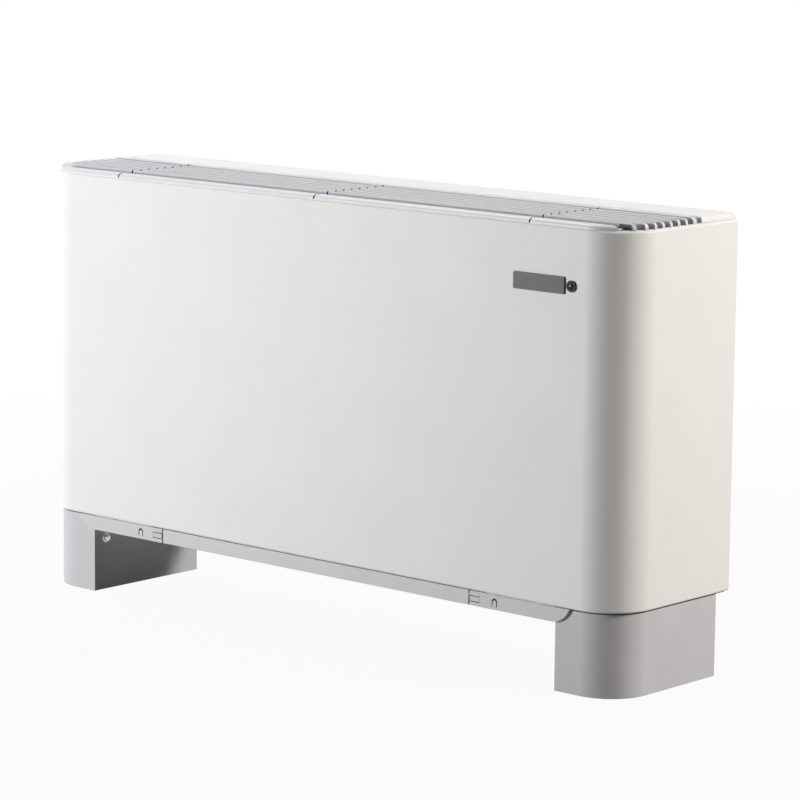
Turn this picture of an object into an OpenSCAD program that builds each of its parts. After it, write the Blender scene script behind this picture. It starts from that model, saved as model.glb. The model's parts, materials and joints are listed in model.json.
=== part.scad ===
// Floor-standing fan coil unit: painted casing on two feet, slatted outlet head with two hinged end lids,
// pull-out intake filter, twin blower and slanted coil. Millimetres, origin on the floor at the middle of
// the footprint, width along X, front towards -Y, up is +Z.

/* [Cabinet] */
// Width of the painted casing
cabinet_w = 1000; // [900:10:1300]
// Depth of the painted casing
cabinet_d = 220; // [215:5:260]
// Height of the painted casing
casing_h = 460; // [450:5:560]
// Plan radius of the two front corners
corner_r = 60; // [45:1:75]
// Thickness of the folded sheet
sheet = 1.2; // [0.8:0.1:1.6]
// Outer bend radius of the top and bottom folds
fold_r = 3; // [2:0.5:5]
// Width of the folded flanges
flange_w = 12; // [9:1:14]
// How far the badge, the receiver and the wall pads stand proud
proud = 2; // [0.8:0.1:3]

/* [Feet] */
// Height of the feet, from the floor to the casing
foot_h = 105; // [80:1:160]
// Width of a foot in plan
foot_w = 95; // [70:1:110]
// How far the feet stand inside the casing outline
foot_inset = 4; // [3:0.5:8]
// Wall thickness of the moulded feet
foot_wall = 3; // [2:0.5:4]
// Distance from the rear of the casing to the rear of the feet
foot_back = 20; // [10:1:40]

/* [Head] */
// Height of the head above the casing
head_rise = 9; // [8:0.5:14]
// Length of each hinged end lid
lid_len = 148; // [120:1:160]
// Width of the seams between the head pieces
seam = 2; // [1:0.5:3]
// Number of slats from front to rear
slat_count = 7; // [5:1:8]
// Spacing of the slats
slat_pitch = 15; // [12:0.5:16]
// Thickness of a slat
slat_t = 4.5; // [3:0.5:6]
// Depth of the rounded nose at the front of the head
nose_d = 13; // [9:0.5:16]
// Radius of the rounded upper edge of the head
head_round = 6; // [4:0.5:7]
// Radius of the lid pivot pins
pin_r = 2; // [1.6:0.1:2.4]

/* [Filter] */
// Width of the pull-out filter strip
filter_w = 536; // [480:2:600]
// Height of the strip under the casing
strip_h = 18.5; // [16:0.5:24]
// Thickness of the strip and of its two end trims
strip_t = 3.6; // [3:0.1:5]
// How far each end trim reaches past the inner side of a foot
trim_over = 24; // [12:1:40]

/* [Front fittings] */
// Width of the bare badge plate
badge_w = 79; // [60:1:100]
// Height of the bare badge plate
badge_h = 21; // [14:1:30]
// Height of the badge and the receiver above the casing bottom
badge_up = 391; // [200:1:410]
// Distance of the receiver from the right side of the casing
eye_in = 80; // [75:1:150]
// Radius of the receiver bezel
eye_r = 7; // [6:0.5:10]

/* [Blower] */
// Radius of the blower wheels
wheel_r = 62; // [50:1:64]
// Length of each blower wheel
wheel_l = 150; // [100:2:160]
// Number of blades on a wheel
blade_count = 36; // [24:1:48]
// Radius of the motor shaft
shaft_r = 6; // [4:0.5:8]
// Radius of the motor
motor_r = 48; // [40:1:55]

/* [Coil] */
// Height of the finned block along its slope
coil_l = 220; // [180:2:230]
// Thickness of the finned block
coil_t = 60; // [44:2:64]
// Lean of the coil from upright
coil_lean = 28; // [20:1:32]
// Spacing of the fins
fin_pitch = 6; // [4:0.5:10]
// Inner radius of the water ports
port_r = 12.1; // [9:0.1:14]

/* [Hidden] */
$fn = 64;
eps = 0.05;
half_w = cabinet_w / 2;
half_d = cabinet_d / 2;
base_z = foot_h;
top_z = foot_h + casing_h;
// The head stands on a one millimetre lip over the casing flange
lip_z = top_z + 1;
head_z = top_z + head_rise;
head_inset = 2;
seam_x = half_w - lid_len;
duct_x = seam_x - 4;
front_y = -half_d;
// Joints of the casing sheets and of the rear panels
end_x = half_w - corner_r;
back_y = half_d - 2 * sheet;
rear_x = duct_x + flange_w / 2;
// Slats, rear bar and rear rail of the head
nose_y = front_y + head_inset + nose_d;
slat_y = front_y + 27.5;
bar_y = slat_y + slat_count * slat_pitch;
bar_t = 7;
hinge_y = bar_y + bar_t + 5;
hinge_z = head_z - 4;
hinge_r = 4;
rail_y = hinge_y + hinge_r + 0.5;
rail_back = half_d - 2;
skirt_z = top_z - 12;
skirt_in = flange_w + 2;
skirt_t = 3;
pivot_out = half_w - 22;
pivot_in = seam_x + 20;
knuckle_w = 6;
// Base panels, filter runners and trims
panel_t = 1.5;
panel_z = base_z - panel_t;
strip_z1 = base_z - 0.5;
strip_z0 = strip_z1 - strip_h;
strip_back = front_y + strip_t;
runner_x = filter_w / 2 - 2;
runner_in = runner_x - 16;
runner_z = strip_z0 + 1;
filter_z = runner_z + sheet + 0.1;
filter_h = panel_z - filter_z - 0.4;
trim_x0 = filter_w / 2;
foot_x = half_w - foot_inset - foot_w;
trim_x1 = foot_x + trim_over;
trim_arc = 30;
strip_seam = 1.6;
slit_t = 1.1;
tongue_l = 15.5;
tongue_z = strip_z0 + 5.8;
tongue_h = 6;
clip_x = trim_x0 + 40.2;
clip_r = 4.2;
clip_l = 6.4;
clip_t = 1.3;
tongue_x = trim_x0 + tongue_l;
tongue_y = strip_back - 0.6;
fold_x0 = trim_x0 + tongue_l + 8;
fold_x1 = foot_x - 3;
// Front fittings
badge_z = base_z + badge_up;
eye_x = half_w - eye_in;
badge_x = eye_x - 49.5;
// Blower scroll built from three quarter arcs
scroll_t = 2;
scroll_step = 8;
scroll_r = wheel_r + 8;
scroll_gap = 20;
motor_half = 45;
fan_x0 = motor_half + scroll_gap;
fan_x1 = fan_x0 + wheel_l + 10;
fan_z = base_z + scroll_r + 20;
deck_z = fan_z + scroll_r + 10;
scroll_back = scroll_step / 2 + scroll_r + 2 * scroll_step;
fan_y = back_y - scroll_back - scroll_t - 2;
mouth_y = fan_y + 22;
mount_r = 21;
// Coil, tray and pipes
tray_z = deck_z + sheet;
coil_y = fan_y - 18.6;
coil_z = tray_z + 18 + coil_l / 2 * cos(coil_lean) + coil_t / 2 * sin(coil_lean);
fin_half = duct_x - 36;
fin_count = floor(2 * fin_half / fin_pitch);
plate_t = 1.5;
tube_r = 4.8;
tube_count = 8;
tube_gap = coil_l / tube_count;
row_n = 15;
header_r = 9;
tap_r = 8;
header_x = fin_half + 18;
tee_x = header_x + 12;
tap_u = 60;
port_x = seam_x + 68;
port_y0 = half_d - 40;
port_y1 = half_d - 12;
bend_r = 22;
tray_y0 = front_y + flange_w + 2;
tray_y1 = fan_y - 28.6;
tray_h = 36;
tray_end_h = 22;
tray_low_h = 12.8;
spout_r = 8;
spout_y = tray_y1 - 40;
spout_z = tray_z + 2 + spout_r;
spout_x = seam_x + 42;
// Electrical box
box_x = duct_x + sheet;
box_d = 76;
box_y = 60;
box_z0 = deck_z + 25;
box_h = 140;
box_z1 = box_z0 + box_h;
box_x1 = box_x + box_d;
post_in = 6;
box_posts = [for (y = [post_in - box_y, box_y - post_in], z = [box_z0 + post_in, box_z1 - post_in]) [y, z]];
// Pipe passages in the rear plates
pass_w = 80;
pass_z0 = deck_z + 35;
pass_h = 176;
// Wall fixings and rear screws
wall_x = half_w - 80;
wall_z0 = base_z + 40;
wall_z1 = top_z - 60;
pad_r = 18;
slot_r = 4;
slot_l = 16;
rear_screw_x = half_w - 7;
rear_screw_up = 25;
rear_screw_z = [base_z + rear_screw_up, base_z + casing_h / 2, top_z - rear_screw_up];
foot_screw_side = 32;
foot_screw_front = 62;
foot_screw_back = 45;
foot_screw_in = 12;
foot_screws_at = [[half_w - foot_screw_side, front_y + foot_screw_front],
  [half_w - foot_screw_side, half_d - foot_screw_back], [foot_x + foot_screw_in, 0]];

// Small helpers
module block(a, b) {
  translate(a) cube(b - a);
}

// Extrude a profile drawn in Y and Z along X
module along_x(x0, x1) {
  translate([x0, 0, 0]) rotate([90, 0, 90]) linear_extrude(x1 - x0) children();
}

// Extrude a profile drawn in X and Z along Y
module along_y(y0, y1) {
  translate([0, y1, 0]) rotate([90, 0, 0]) linear_extrude(y1 - y0) children();
}

module rod_x(x0, x1, y, z, r) {
  translate([x0, y, z]) rotate([0, 90, 0]) cylinder(h = x1 - x0, r = r);
}

module rod_y(y0, y1, x, z, r) {
  translate([x, y1, z]) rotate([90, 0, 0]) cylinder(h = y1 - y0, r = r);
}

module quarter(r) {
  intersection() {
    circle(r);
    square(r + 1);
  }
}

module flip(left) {
  mirror([left ? 1 : 0, 0, 0]) children();
}

// Plan of the cabinet, drawn in by an inset, with rounded front corners
module plan(inset, back) {
  x = half_w - inset;
  r = corner_r - inset;
  y = front_y + inset;
  translate([r - x, y]) square([2 * (x - r), r]);
  translate([-x, y + r]) square([2 * x, back - y - r]);
  translate([x - r, y + r]) rotate(-90) quarter(r);
  translate([r - x, y + r]) rotate(180) quarter(r);
}

// Carry a profile, drawn inwards from the outline, round one corner and along its side
module sweep_end(inset, back) {
  x = half_w - inset;
  r = corner_r - inset;
  y = front_y + inset;
  translate([x - r, y + r, 0]) rotate([0, 0, -90]) rotate_extrude(angle = 90, $fn = 96)
    translate([r, 0]) mirror([1, 0]) children();
  translate([x, y + r, 0]) rotate([90, 0, 180]) linear_extrude(back - y - r) children();
}

// Carry a profile round the front and both sides
module sweep(inset, back) {
  along_x(-end_x, end_x) translate([front_y + inset, 0]) children();
  for (left = [false, true]) flip(left) sweep_end(inset, back) children();
}

// Casing: a front sheet and two rounded end sheets, butted flush, with top, bottom and rear returns
module fold_shape(o) {
  translate([fold_r, base_z + o]) square([flange_w - fold_r + o, casing_h - 2 * o]);
  translate([o, base_z + fold_r]) square([fold_r - o, casing_h - 2 * fold_r]);
  translate([fold_r, top_z - fold_r]) rotate(90) quarter(fold_r - o);
  translate([fold_r, base_z + fold_r]) rotate(180) quarter(fold_r - o);
}

module casing_section() {
  difference() {
    fold_shape(0);
    fold_shape(sheet);
  }
}

module casing() {
  color("white") difference() {
    along_x(-end_x, end_x) translate([front_y, 0]) casing_section();
    rod_y(front_y - 1, front_y + 5, eye_x, badge_z, eye_r - 0.8);
  }
}

module casing_end(left) {
  flip(left) difference() {
    union() {
      sweep_end(0, half_d) casing_section();
      block([half_w - flange_w, half_d - sheet, base_z + fold_r],
        [half_w - sheet / 2, half_d, top_z - fold_r]);
    }
    for (z = rear_screw_z) rod_y(half_d - 5, half_d + 1, rear_screw_x, z, 2.1);
  }
}

module casing_end_left() {
  color("white") casing_end(true);
}

module casing_end_right() {
  color("white") casing_end(false);
}

// Rear panel of the duct, and rear plates of the bays with wall pads, slots and pipe openings
module wall_slot(x, z) {
  for (s = [-1, 1]) rod_y(back_y - 5, half_d + 5, x + s * (slot_l / 2 - slot_r), z, slot_r);
  block([x - slot_l / 2 + slot_r, back_y - 5, z - slot_r], [x + slot_l / 2 - slot_r, half_d + 5, z + slot_r]);
}

module back_panel() {
  color("silver") {
    block([-rear_x, back_y, base_z + sheet / 2], [rear_x, back_y + sheet, top_z - 14]);
    block([-rear_x, back_y - 11, base_z], [rear_x, back_y + sheet, base_z + sheet]);
  }
}

module rear_plate(left) {
  edge = half_w - 3.5;
  flip(left) difference() {
    union() {
      block([rear_x, back_y, base_z + sheet / 2], [edge, back_y + sheet, top_z - 14]);
      block([rear_x, back_y - 11, base_z], [edge, back_y + sheet, base_z + sheet]);
      for (z = [wall_z0, wall_z1]) rod_y(back_y, half_d + proud, wall_x, z, pad_r);
    }
    for (z = [wall_z0, wall_z1]) {
      rod_y(back_y - 1, half_d + proud - sheet, wall_x, z, pad_r - sheet);
      wall_slot(wall_x, z);
    }
    block([port_x - pass_w / 2, back_y - 1, pass_z0], [port_x + pass_w / 2, half_d, pass_z0 + pass_h]);
    for (z = rear_screw_z) rod_y(back_y - 1, half_d, rear_screw_x, z, 1.95);
    block([half_w - 14, back_y - 12, base_z - 1], [half_w, back_y, base_z + 2]);
    block([half_w - 14, back_y - 1, base_z - 1], [half_w, half_d, base_z + sheet]);
  }
}

module rear_plate_left() {
  color("silver") rear_plate(true);
}

module rear_plate_right() {
  color("silver") rear_plate(false);
}

// Upright plates at the ends of the air duct
function slope(u, n) = [coil_y + u * sin(coil_lean) + n * cos(coil_lean),
  coil_z + u * cos(coil_lean) - n * sin(coil_lean)];
tap_in = [for (v = slope(-tap_u, row_n)) round(v)];
tap_out = [for (v = slope(tap_u, -row_n)) round(v)];

module side_plate(left) {
  flip(left) difference() {
    union() {
      block([duct_x, front_y + flange_w + 1, base_z + sheet / 2], [duct_x + sheet, back_y, skirt_z]);
      block([duct_x, front_y + flange_w + 1, base_z], [duct_x + flange_w, back_y - 12, base_z + sheet]);
      block([duct_x, back_y - sheet, base_z + 12], [duct_x + flange_w, back_y, skirt_z - 10]);
    }
    block([duct_x - 1, back_y - 12, base_z - 1], [duct_x + 30, back_y + 1, base_z + 2]);
    if (left) {
      rod_x(duct_x - 1, duct_x + 3, spout_y, spout_z, spout_r + 1.1);
      rod_x(duct_x - 1, duct_x + 3, tap_in[0], tap_in[1], tap_r + 2);
      rod_x(duct_x - 1, duct_x + 3, tap_out[0], tap_out[1], tap_r + 2);
    } else {
      rod_x(duct_x - 1, duct_x + 3, 0, box_z0 + 40, 10);
    }
  }
}

module side_plate_left() {
  color("silver") side_plate(true);
}

module side_plate_right() {
  color("silver") side_plate(false);
}

// Deck that carries the blower below it and the tray above it
module fan_deck() {
  color("silver") difference() {
    union() {
      block([-duct_x, front_y + flange_w + 1, deck_z], [duct_x, back_y, deck_z + sheet]);
      for (s = [-1, 1]) block([s * (duct_x - sheet / 2) - sheet / 2, front_y + flange_w + 1, deck_z - 12],
        [s * (duct_x - sheet / 2) + sheet / 2, back_y, deck_z + sheet / 2]);
    }
    for (left = [false, true]) flip(left)
      block([fan_x0 + scroll_t, mouth_y, deck_z - 1], [fan_x1 - scroll_t, fan_y + scroll_back, deck_z + 5]);
  }
}

// Base panels with the filter runners
module base_panel(left) {
  flip(left) difference() {
    union() {
      translate([0, 0, panel_z]) linear_extrude(panel_t) intersection() {
        plan(foot_inset + 1, back_y);
        translate([runner_in, -half_d]) square([half_w, cabinet_d]);
      }
      block([runner_x, front_y + 6, runner_z], [runner_x + sheet, half_d - 8, panel_z + 0.5]);
      block([runner_in, front_y + 6, runner_z], [runner_x + sheet, half_d - 8, runner_z + sheet]);
      block([fold_x0, strip_back, strip_z0 + 4], [fold_x1, strip_back + panel_t, base_z]);
      block([fold_x0, strip_back, panel_z], [fold_x1, strip_back + 6, base_z]);
    }
    for (p = foot_screws_at) translate([p[0], p[1], panel_z - 1]) cylinder(h = 5, r = 2.1);
  }
}

module base_panel_left() {
  color("gray") base_panel(true);
}

module base_panel_right() {
  color("gray") base_panel(false);
}

// Hollow feet, open below and at the rear
module foot_plan(in) {
  intersection() {
    plan(foot_inset + in, half_d - foot_back + (in > 0 ? 1 : 0));
    translate([foot_x + in, -half_d]) square([half_w, cabinet_d]);
  }
}

module foot_ring(z0, z1, in) {
  translate([0, 0, z0]) linear_extrude(z1 - z0) difference() {
    foot_plan(0);
    foot_plan(in);
  }
}

module foot(left) {
  flip(left) difference() {
    union() {
      foot_ring(0, panel_z, foot_wall);
      foot_ring(0, foot_wall, foot_wall + 9);
      foot_ring(panel_z - foot_wall, panel_z, foot_wall + 16);
      for (p = foot_screws_at) translate([p[0], p[1], panel_z - foot_wall]) foot_lug(p);
    }
    for (p = foot_screws_at) translate([p[0], p[1], panel_z - 20]) cylinder(h = 30, r = 2.2);
  }
}

// Pad under a foot screw, reaching back to the nearest wall
module foot_lug(p) {
  reach = p[0] < half_w - 60 ? foot_x + 1 - p[0] : half_w - foot_inset - 1 - p[0];
  cylinder(h = foot_wall, r = 9);
  translate([min(0, reach), -9, 0]) cube([abs(reach), 18, foot_wall]);
}

module foot_left() {
  color("dimgray") foot(true);
}

module foot_right() {
  color("dimgray") foot(false);
}

module foot_screws() {
  color("silver") for (left = [false, true], p = foot_screws_at) flip(left) {
    translate([p[0], p[1], panel_z - foot_wall - 3]) cylinder(h = 3, r = 4);
    translate([p[0], p[1], panel_z - foot_wall - 1]) cylinder(h = 12, r = 2);
  }
}

module casing_screws() {
  color("silver") for (left = [false, true], z = rear_screw_z) flip(left) {
    rod_y(half_d, half_d + proud, rear_screw_x, z, 4);
    rod_y(half_d - 10, half_d + proud / 2, rear_screw_x, z, 1.9);
  }
}

// End trims of the bottom strip, with a ski-tip end, a tongue window and a clip slit
module trim_face() {
  run = sqrt(trim_arc * trim_arc - (trim_arc - strip_h) * (trim_arc - strip_h));
  translate([trim_x0, strip_z0]) square([trim_x1 - trim_x0 - run, strip_h]);
  intersection() {
    translate([trim_x1 - run, strip_z0 + trim_arc]) circle(trim_arc, $fn = 96);
    translate([trim_x1 - run, strip_z0]) square([run + 1, strip_h]);
  }
}

module clip_slit(o) {
  r = clip_r - o;
  translate([-r, 0]) square([2 * r, clip_l]);
  translate([0, clip_l]) intersection() {
    circle(r);
    translate([-clip_r, 0]) square([2 * clip_r, clip_r]);
  }
}

module trim_end(left) {
  flip(left) difference() {
    union() {
      along_y(front_y, strip_back) trim_face();
      for (s = [-1, 1]) translate([0, 0, tongue_z + tongue_h / 2 + s * (tongue_h / 2 + 2.1)])
        block([tongue_x - 3.4, front_y + 1, -1.4], [tongue_x + 3.4, strip_back + 2.8, 1.4]);
    }
    block([trim_x0 - 1, front_y - 1, tongue_z - slit_t],
      [tongue_x + 1.4, strip_back + 5, tongue_z + tongue_h + slit_t]);
    translate([tongue_x, tongue_y, tongue_z - 2.6]) cylinder(h = tongue_h + 5.2, r = 1.55);
    along_y(front_y - 1, front_y + strip_t / 2) translate([clip_x, strip_z0 + 3.6]) difference() {
      clip_slit(0);
      translate([0, -1]) clip_slit(clip_t);
    }
  }
}

module trim_left() {
  color("lightsteelblue") trim_end(true);
}

module trim_right() {
  color("lightsteelblue") trim_end(false);
}

// Release tongues, turning on a short upright pin at the root
module release_tongue(left) {
  flip(left) {
    block([trim_x0 + 0.4, front_y, tongue_z], [tongue_x, front_y + 2.4, tongue_z + tongue_h]);
    translate([tongue_x, tongue_y, tongue_z - 2.4]) cylinder(h = tongue_h + 4.8, r = 1.5);
    block([tongue_x - 2, front_y, tongue_z], [tongue_x + 1, tongue_y, tongue_z + tongue_h]);
  }
}

module release_tongue_left() {
  color("lightsteelblue") release_tongue(true);
}

module release_tongue_right() {
  color("lightsteelblue") release_tongue(false);
}

// Filter frame with its front strip, and the mesh it carries
filter_half = runner_x - 0.5;
filter_back = half_d - 10;
filter_rim = 16;

module filter_frame() {
  color("slategray") {
    difference() {
      block([-filter_half, strip_back - eps, filter_z], [filter_half, filter_back, filter_z + filter_h]);
      block([-filter_half + filter_rim, strip_back + filter_rim, filter_z - 1],
        [filter_half - filter_rim, filter_back - filter_rim, filter_z + filter_h + 1]);
    }
    block([strip_seam - filter_w / 2, front_y, strip_z0], [filter_w / 2 - strip_seam, strip_back, strip_z1]);
    for (x = [-filter_w / 6, filter_w / 6]) block([x - 2, strip_back + filter_rim - 1, filter_z],
      [x + 2, filter_back - filter_rim + 1, filter_z + 4]);
    block([-filter_half + filter_rim - 1, -2, filter_z], [filter_half - filter_rim + 1, 2, filter_z + 4]);
  }
}

module filter_mesh() {
  color("black") block([-filter_half + filter_rim, strip_back + filter_rim, filter_z + 4],
    [filter_half - filter_rim, filter_back - filter_rim, filter_z + 5.5]);
}

// Outer form of the head: the plan with a rounded upper edge
module head_edge() {
  translate([0, lip_z]) square([head_round, head_z - lip_z - head_round]);
  translate([head_round, head_z - head_round]) rotate(90) quarter(head_round);
}

module head_form(back) {
  sweep(head_inset, back) head_edge();
  translate([0, 0, lip_z]) linear_extrude(head_z - lip_z) plan(head_inset + head_round, back);
}

// Section of the slatted panels: nose, slats and rear bar
module slat_section(z0) {
  h = head_z - z0;
  translate([front_y, z0]) square([nose_y - front_y, h]);
  for (k = [0 : slat_count - 1]) translate([slat_y + k * slat_pitch, z0]) {
    square([slat_t, h - slat_t / 2]);
    translate([slat_t / 2, h - slat_t / 2]) intersection() {
      circle(slat_t / 2);
      translate([-slat_t, 0]) square([2 * slat_t, slat_t]);
    }
  }
  translate([bar_y, z0]) square([bar_t, h]);
}

// Cross ribs under the slats, starting inside the rounded corner of the skirt
function corner_front(x, inset) = let (r = corner_r - inset, d = max(0, x - half_w + corner_r))
  front_y + corner_r - sqrt(r * r - d * d);

module slat_ribs(xs) {
  for (x = xs) {
    y = corner_front(x + 1.5, skirt_in + skirt_t + 2);
    block([x - 1.5, y, lip_z - 7], [x + 1.5, bar_y + bar_t, lip_z + 1.5]);
    block([x - 1.5, max(nose_y - 2, corner_front(x + 1.5, head_inset + 1.5)), lip_z],
      [x + 1.5, y + 4, lip_z + 1.5]);
  }
}

// Front nose section with a rounded upper edge
module grille_nose() {
  translate([front_y + head_inset, 0]) head_edge();
  translate([front_y + head_inset + head_round, lip_z]) square([nose_d - head_round, head_z - lip_z]);
}

module outlet_grille(left) {
  x0 = seam / 2;
  x1 = seam_x - seam / 2;
  flip(left) {
    along_x(x0, x1) {
      difference() {
        slat_section(lip_z);
        translate([front_y - 1, lip_z - 1]) square([nose_d + head_inset + 1, head_rise + 2]);
      }
      grille_nose();
    }
    slat_ribs([for (k = [0 : 5]) x0 + 12 + k * (x1 - x0 - 24) / 5]);
  }
}

module outlet_grille_left() {
  color("lightgray") outlet_grille(true);
}

module outlet_grille_right() {
  color("lightgray") outlet_grille(false);
}

// Hinged end lids, with the pivot pins on two arms
module lid_arm(x0, x1, p0, p1) {
  along_x(x0, x1) {
    translate([bar_y + bar_t - 1, hinge_z - 3.4]) square([hinge_y - bar_y - bar_t + 1, 6.8]);
    translate([hinge_y, hinge_z]) circle(3.4);
  }
  rod_x(p0, p1, hinge_y, hinge_z, pin_r);
}

module end_lid(left) {
  x0 = seam_x + seam / 2;
  flip(left) {
    intersection() {
      head_form(bar_y + 40);
      along_x(x0, half_w) slat_section(lip_z - 1);
    }
    slat_ribs([seam_x + 14, (seam_x + half_w) / 2, half_w - 26]);
    lid_arm(pivot_out - knuckle_w / 2 - 6.4, pivot_out - knuckle_w / 2 - 0.4, pivot_out - 5, pivot_out + 2.8);
    lid_arm(pivot_in + knuckle_w / 2 + 0.4, pivot_in + knuckle_w / 2 + 6.4, pivot_in - 2.8, pivot_in + 5);
  }
}

module end_lid_left() {
  color("lightgray") end_lid(true);
}

module end_lid_right() {
  color("lightgray") end_lid(false);
}

// Head frame: lip over the casing flange, skirt, cross bars, rear rail and hinge lugs
module rail_section() {
  r = 4;
  h = head_z - lip_z;
  translate([rail_y, lip_z - 1]) square([rail_back - rail_y - r, h + 1 - r]);
  translate([rail_y + r, lip_z - 1]) square([rail_back - rail_y - 2 * r, h + 1]);
  translate([rail_back - r, lip_z - 1]) square([r, h + 1 - r]);
  translate([rail_y + r, head_z - r]) rotate(90) quarter(r);
  translate([rail_back - r, head_z - r]) quarter(r);
}

module lip_plan(o, back) {
  difference() {
    plan(head_inset + 1 + o, back);
    plan(skirt_in + skirt_t, back + 1);
  }
}

module head_frame() {
  color("white") difference() {
    union() {
      translate([0, 0, top_z]) linear_extrude(1) lip_plan(0, rail_back);
      translate([0, 0, skirt_z]) linear_extrude(12.5) lip_plan(skirt_in - head_inset - 1, rail_back);
      for (x = [-seam_x, 0, seam_x])
        block([x - 8, front_y + skirt_in + 1, skirt_z], [x + 8, rail_y + 2, lip_z]);
      block([-half_w + skirt_in + 1, rail_y, skirt_z], [half_w - skirt_in - 1, rail_y + skirt_t, lip_z + 2]);
      block([-half_w + skirt_in + 1, rail_back - skirt_t, skirt_z],
        [half_w - skirt_in - 1, rail_back, lip_z + 2]);
      intersection() {
        head_form(half_d);
        along_x(-half_w, half_w) rail_section();
      }
      for (s = [-1, 1], x = [pivot_in, pivot_out]) hinge_lug(s * x);
    }
    block([-half_w + skirt_in + skirt_t, rail_y + skirt_t, skirt_z - 1],
      [half_w - skirt_in - skirt_t, rail_back - skirt_t, head_z - 3]);
    for (s = [-1, 1], x = [pivot_in, pivot_out])
      rod_x(s * x - knuckle_w, s * x + knuckle_w, hinge_y, hinge_z, pin_r + 0.05);
  }
}

module hinge_lug(x) {
  along_x(x - knuckle_w / 2, x + knuckle_w / 2) {
    translate([hinge_y, hinge_z]) circle(hinge_r);
    translate([hinge_y, hinge_z - hinge_r]) square([rail_y - hinge_y + 3, hinge_r + 1]);
  }
}

// Badge plate and receiver on the front
module badge_plate() {
  r = 2;
  color("gray") along_y(front_y - proud, front_y) {
    translate([badge_x - badge_w / 2 + r, badge_z - badge_h / 2]) square([badge_w - 2 * r, badge_h]);
    for (s = [-1, 1]) translate([badge_x + s * (badge_w / 2 - r / 2) - r / 2, badge_z - badge_h / 2 + r])
      square([r, badge_h - 2 * r]);
    for (q = [[1, 1, 0], [-1, 1, 90], [-1, -1, 180], [1, -1, 270]])
      translate([badge_x + q[0] * (badge_w / 2 - r), badge_z + q[1] * (badge_h / 2 - r)])
        rotate(q[2]) quarter(r);
  }
}

module receiver_bezel() {
  color("black") translate([eye_x, front_y, badge_z]) rotate([-90, 0, 0]) rotate_extrude($fn = 48) {
    translate([eye_r - 2.3, -proud]) square([2.3, proud]);
    translate([eye_r - 2.3, -eps]) square([1.4, 12]);
  }
}

module receiver_lens() {
  color("dimgray") rod_y(front_y - proud + 0.5, front_y + 6, eye_x, badge_z, eye_r - 2.3);
}

module receiver_housing() {
  color("darkslategray") difference() {
    block([eye_x - 14, front_y + sheet, badge_z - 18], [eye_x + 14, front_y + sheet + 16, badge_z + 18]);
    rod_y(front_y, front_y + 13, eye_x, badge_z, eye_r - 0.85);
  }
}

// Blower scrolls, split in two halves at the shaft
module volute(o) {
  a = scroll_step / 2;
  r = scroll_r + o;
  translate([fan_y - a, fan_z - a]) rotate(90) quarter(r);
  translate([fan_y + a, fan_z - a]) rotate(180) quarter(r + scroll_step);
  translate([fan_y + a, fan_z + a]) rotate(270) quarter(r + 2 * scroll_step);
  translate([fan_y - a, fan_z - a]) square(2 * a);
  translate([fan_y - a, fan_z + a]) square([scroll_back + a + o, scroll_r - 2 * a + o]);
  translate([mouth_y - o, fan_z + a]) square([scroll_back - 22 + 2 * o, deck_z - fan_z - a]);
}

module scroll() {
  difference() {
    union() {
      along_x(fan_x0, fan_x1) volute(scroll_t);
      block([fan_x0 - 7, mouth_y - 9, deck_z - 2], [fan_x1 + 7, fan_y + scroll_back + scroll_t, deck_z]);
      rod_x(fan_x0 - 4, fan_x1 + 4, fan_y, fan_z, wheel_r - 5);
    }
    along_x(fan_x0 + scroll_t, fan_x1 - scroll_t) volute(0);
    block([fan_x0 + scroll_t, mouth_y, deck_z - 5], [fan_x1 - scroll_t, fan_y + scroll_back, deck_z + 5]);
    rod_x(fan_x0 - 5, fan_x1 + 5, fan_y, fan_z, wheel_r - 8);
  }
}

module scroll_half(left, upper) {
  flip(left) intersection() {
    scroll();
    translate([0, -cabinet_d, upper ? fan_z : fan_z - 300]) cube([half_w, 2 * cabinet_d, 300]);
  }
}

module scroll_upper_left() {
  color("darkgray") scroll_half(true, true);
}

module scroll_lower_left() {
  color("darkgray") scroll_half(true, false);
}

module scroll_upper_right() {
  color("darkgray") scroll_half(false, true);
}

module scroll_lower_right() {
  color("darkgray") scroll_half(false, false);
}

// Blower wheels with forward-curved blades
blade_in = wheel_r - 12;
blade_steps = 4;
function blade_point(t, o) = let (r = blade_in + 1 + t * (wheel_r - blade_in - 1.5) + o, a = 26 * t * t)
  [(r) * cos(a) - o * sin(a), (r) * sin(a) + o * cos(a)];

module blade() {
  polygon(concat([for (i = [0 : blade_steps]) blade_point(i / blade_steps, 0)],
    [for (i = [blade_steps : -1 : 0]) blade_point(i / blade_steps, 0) + [-0.4, 1.1]]));
}

module wheel_ring(z, t, inner) {
  translate([0, 0, z]) difference() {
    cylinder(h = t, r = wheel_r);
    translate([0, 0, -1]) cylinder(h = t + 2, r = inner);
  }
}

module impeller(left) {
  flip(left) translate([fan_x0 + 5, fan_y, fan_z]) rotate([0, 90, 0]) difference() {
    union() {
      wheel_ring(0, 3, blade_in);
      wheel_ring(wheel_l - 3, 3, blade_in);
      wheel_ring(wheel_l / 2 - 1, 2, shaft_r);
      translate([0, 0, wheel_l / 2 - 12]) cylinder(h = 24, r = shaft_r + 8);
      translate([0, 0, 1]) linear_extrude(wheel_l - 2) for (k = [0 : blade_count - 1])
        rotate(k * 360 / blade_count) blade();
    }
    translate([0, 0, -1]) cylinder(h = wheel_l + 2, r = shaft_r + 0.03);
  }
}

module impeller_left() {
  color("slategray") impeller(true);
}

module impeller_right() {
  color("slategray") impeller(false);
}

// Motor: shaft, stator, end shields, bearings, rubber rings and bracket
boss_r = 16;
boss_l = 14;
stator_half = 26;

module motor_shaft() {
  color("silver") rod_x(-fan_x0 - wheel_l + 30, fan_x0 + wheel_l - 30, fan_y, fan_z, shaft_r);
}

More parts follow.
